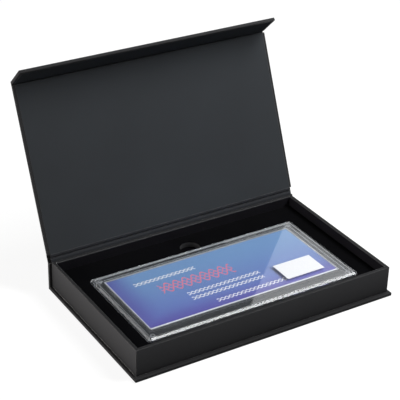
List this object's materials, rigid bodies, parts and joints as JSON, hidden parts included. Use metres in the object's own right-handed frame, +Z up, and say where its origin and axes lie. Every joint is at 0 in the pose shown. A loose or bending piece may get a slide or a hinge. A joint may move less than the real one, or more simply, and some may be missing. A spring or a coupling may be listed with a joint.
{
  "type": "banknote slab display box",
  "caption": "Book-style rigid presentation box with a magnetic front flap, holding a clear banknote slab in a velour insert.",
  "frame": {"origin": "centre of the flat underside", "axes": "+X along the long side, to the right as the open box faces its user; the front, where the flap closes, faces -Y; +Z up"},
  "size_m": [0.2126, 0.181, 0.1585],
  "materials": {
    "case_paper": "matte black embossed covering paper",
    "lining_paper": "matte charcoal lining paper",
    "greyboard": "uncoated greyboard",
    "gummed_paper": "brown gummed paper",
    "velour": "short black flocked velour",
    "foam": "black polyethylene foam",
    "clear_plastic": "clear polished acrylic",
    "note_paper": "printed blue card",
    "label_paper": "bare white label",
    "steel": "plain steel",
    "magnet": "nickel-plated magnet"
  },
  "bodies": {
    "box": {"base_board": "greyboard", "base_wrap": "case_paper", "spine_board": "greyboard", "spine_wrap": "case_paper", "spine_lining": "lining_paper", "tray_floor": "greyboard", "front_wall": "greyboard", "rear_wall": "greyboard", "left_wall": "greyboard", "right_wall": "greyboard", "corner_stays": "gummed_paper", "tray_wrap": "case_paper", "wall_flock": "velour", "catch_discs": "steel", "foam_pad": "foam", "pad_velour": "velour", "foam_frame": "foam", "frame_velour": "velour"},
    "groove": {"groove_wrap": "case_paper", "groove_lining": "lining_paper"},
    "lid": {"lid_board": "greyboard", "lid_wrap": "case_paper", "lid_lining": "lining_paper"},
    "flap": {"flap_board": "greyboard", "flap_wrap": "case_paper", "flap_lining": "lining_paper", "flap_magnets": "magnet"},
    "slab": {"slab_base": "clear_plastic", "note_card": "note_paper"},
    "slab_top": {"slab_cover": "clear_plastic", "blank_label": "label_paper"}
  },
  "joints": [
    {"name": "lower_crease", "type": "hinge", "parent": "box", "child": "groove", "pos_m": [0, 0.0652, 0.0227], "axis": [-1, 0, 0], "range_deg": [-67.7, 45]},
    {"name": "upper_crease", "type": "hinge", "parent": "groove", "child": "lid", "pos_m": [0, 0.06703, 0.02707], "axis": [-1, 0, 0], "range_deg": [-45, 29]},
    {"name": "flap_crease", "type": "hinge", "parent": "lid", "child": "flap", "pos_m": [0, 0.11596, 0.14405], "axis": [-1, 0, 0], "range_deg": [-20.9, 69.1]},
    {"name": "slab_lift", "type": "slide", "parent": "box", "child": "slab", "axis": [0, 0, 1], "range_m": [0, 0.045]},
    {"name": "cover_lift", "type": "slide", "parent": "slab", "child": "slab_top", "axis": [0, 0, 1], "range_m": [0, 0.012]}
  ]
}
